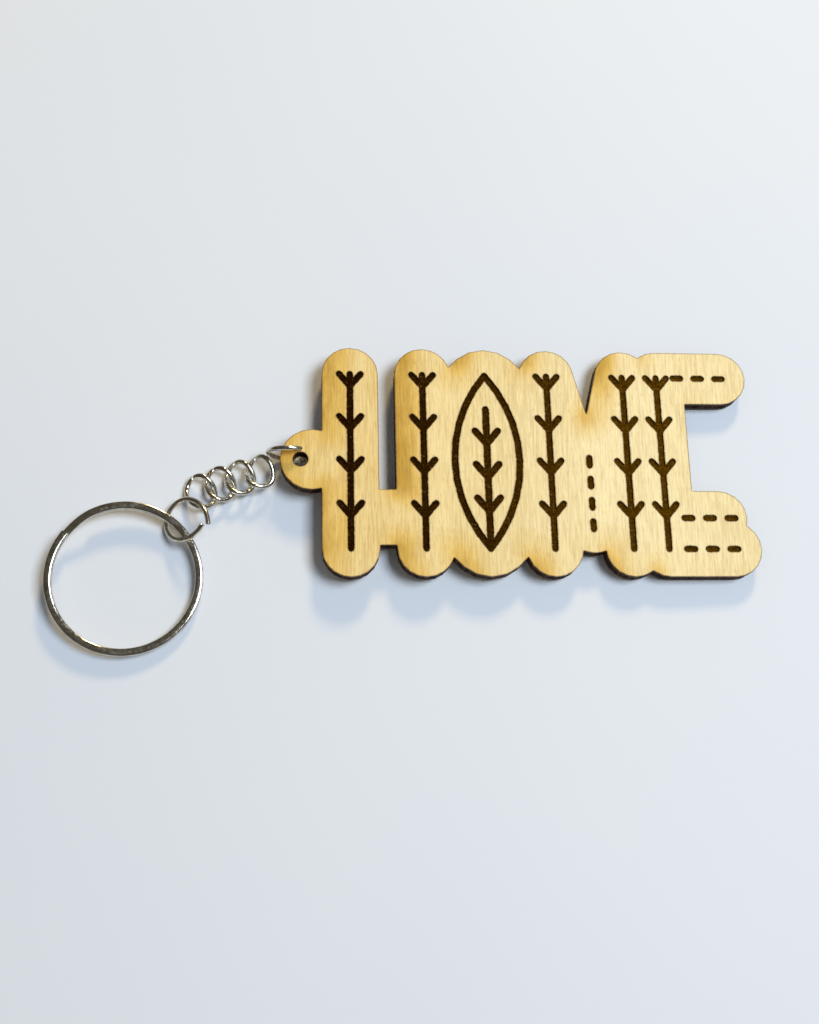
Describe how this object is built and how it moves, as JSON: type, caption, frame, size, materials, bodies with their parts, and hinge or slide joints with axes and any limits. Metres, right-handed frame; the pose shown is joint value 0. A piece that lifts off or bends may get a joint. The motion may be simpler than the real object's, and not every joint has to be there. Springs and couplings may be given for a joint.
{
  "type": "keychain",
  "caption": "Souvenir keychain: a flat engraved plywood tag on a short twisted-link chain with jump rings and a split key ring.",
  "frame": {"origin": "centre of the tag's back face, level with the eye and midway along the tag", "axes": "+X runs along the tag away from the chain, +Y runs up the tag's fingers, +Z points out of the engraved face"},
  "size_m": [0.1402, 0.0617, 0.0085],
  "materials": {
    "face_veneer": "sanded birch, engraved and smoke-stained by the laser",
    "core_ply": "birch core with charred cut edges",
    "back_veneer": "sanded birch",
    "nickel_wire": "nickel plated",
    "split_ring_steel": "nickel plated, polished"
  },
  "bodies": {
    "plate": {"face_veneer": "face_veneer", "core_ply": "core_ply", "back_veneer": "back_veneer"},
    "tab_ring": {"tab_ring": "nickel_wire"},
    "link_4": {"chain_link_4": "nickel_wire"},
    "link_3": {"chain_link_3": "nickel_wire"},
    "link_2": {"chain_link_2": "nickel_wire"},
    "link_1": {"chain_link_1": "nickel_wire"},
    "end_ring": {"end_ring": "nickel_wire"},
    "key_ring": {"key_ring": "split_ring_steel"}
  },
  "joints": [
    {"name": "tab_ring_swing", "type": "hinge", "parent": "plate", "child": "tab_ring", "pos_m": [-0.0479, 0, 0.0015], "axis": [0, 0, 1], "range_deg": [-45, 40]},
    {"name": "link_4_fold", "type": "hinge", "parent": "tab_ring", "child": "link_4", "pos_m": [-0.0544, 0.0014, 0.0007], "axis": [-0.1736, 0.9599, -0.22], "range_deg": [-35, 35]},
    {"name": "link_3_swing", "type": "hinge", "parent": "link_4", "child": "link_3", "pos_m": [-0.05798, -0.0022, -0.00062], "axis": [0.1629, -0.0595, -0.9848], "range_deg": [-30, 35]},
    {"name": "link_2_fold", "type": "hinge", "parent": "link_3", "child": "link_2", "pos_m": [-0.06182, -0.00337, -0.00119], "axis": [0.342, -0.9397, 0], "range_deg": [-50, 50]},
    {"name": "link_1_swing", "type": "hinge", "parent": "link_2", "child": "link_1", "pos_m": [-0.06562, -0.00475, -0.00126], "axis": [0.0316, 0.0148, -0.9994], "range_deg": [-20, 30]},
    {"name": "end_ring_swing", "type": "hinge", "parent": "link_1", "child": "end_ring", "pos_m": [-0.0694, -0.0079, -0.0002], "axis": [0, 0, -1], "range_deg": [-60, 35]},
    {"name": "key_ring_flap", "type": "hinge", "parent": "end_ring", "child": "key_ring", "pos_m": [-0.07143, -0.01297, -0.00059], "axis": [-0.7067, 0.7043, 0.0663], "range_deg": [-8, 150]}
  ]
}
